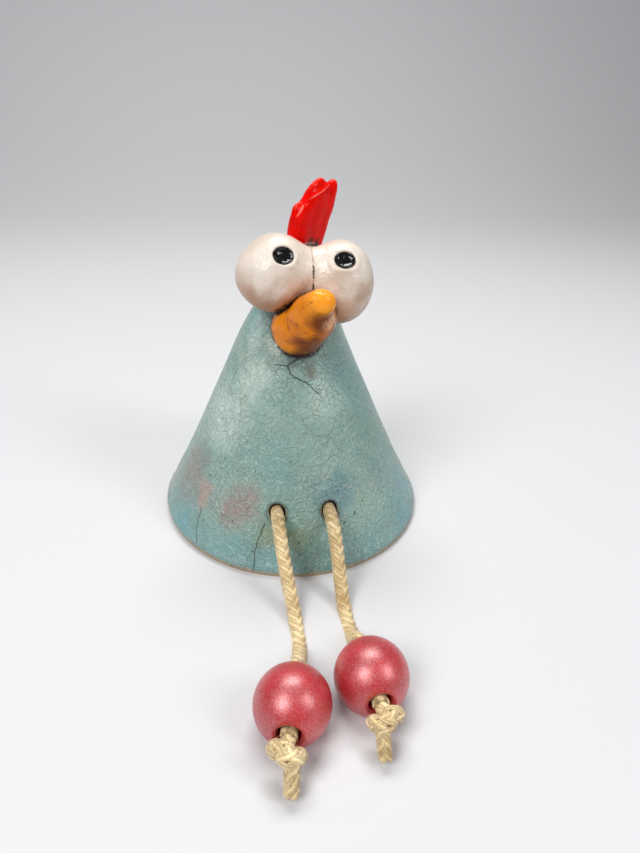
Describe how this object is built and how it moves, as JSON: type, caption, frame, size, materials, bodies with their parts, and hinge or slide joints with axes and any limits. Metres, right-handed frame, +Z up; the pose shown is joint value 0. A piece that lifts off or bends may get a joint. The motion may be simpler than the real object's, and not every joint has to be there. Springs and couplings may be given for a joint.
{
  "type": "ceramic hen figurine",
  "caption": "Hollow glazed pottery hen with a conical body, bulging eyes, an upturned beak, a pointed comb and dangling cord legs that end in beads.",
  "frame": {"origin": "middle of the rim that the hollow body stands on", "axes": "+Z up, the face and the legs towards -Y, the hen's own left side towards +X"},
  "size_m": [0.0698, 0.1276, 0.086],
  "materials": {
    "body": "semi-gloss crackle",
    "eye": "gloss",
    "pupil": "gloss",
    "beak": "gloss",
    "comb": "gloss",
    "cord": "waxed braid",
    "bead": "pearl lacquer"
  },
  "bodies": {
    "hen": {"body": "body", "eye_left": "eye", "pupil_left": "pupil", "eye_right": "eye", "pupil_right": "pupil", "beak": "beak", "comb": "comb", "cord_inside": "cord"},
    "left_leg": {"leg_left": "cord", "knot_left": "cord"},
    "left_bead": {"bead_left": "bead"},
    "right_leg": {"leg_right": "cord", "knot_right": "cord"},
    "right_bead": {"bead_right": "bead"}
  },
  "joints": [
    {"name": "left_leg_lift", "type": "hinge", "parent": "hen", "child": "left_leg", "pos_m": [-0.0062, -0.03199, 0.01586], "axis": [-1, 0, 0], "range_deg": [0, 75]},
    {"name": "left_bead_spin", "type": "hinge", "parent": "left_leg", "child": "left_bead", "pos_m": [-0.00663, -0.07481, 0.007], "axis": [-0.1905, -0.9803, 0.0523], "continuous": true},
    {"name": "right_leg_lift", "type": "hinge", "parent": "hen", "child": "right_leg", "pos_m": [0.0062, -0.03199, 0.01586], "axis": [-1, 0, 0], "range_deg": [0, 75]},
    {"name": "right_bead_spin", "type": "hinge", "parent": "right_leg", "child": "right_bead", "pos_m": [0.00839, -0.07042, 0.007], "axis": [0.0523, -0.9973, 0.0523], "continuous": true}
  ]
}
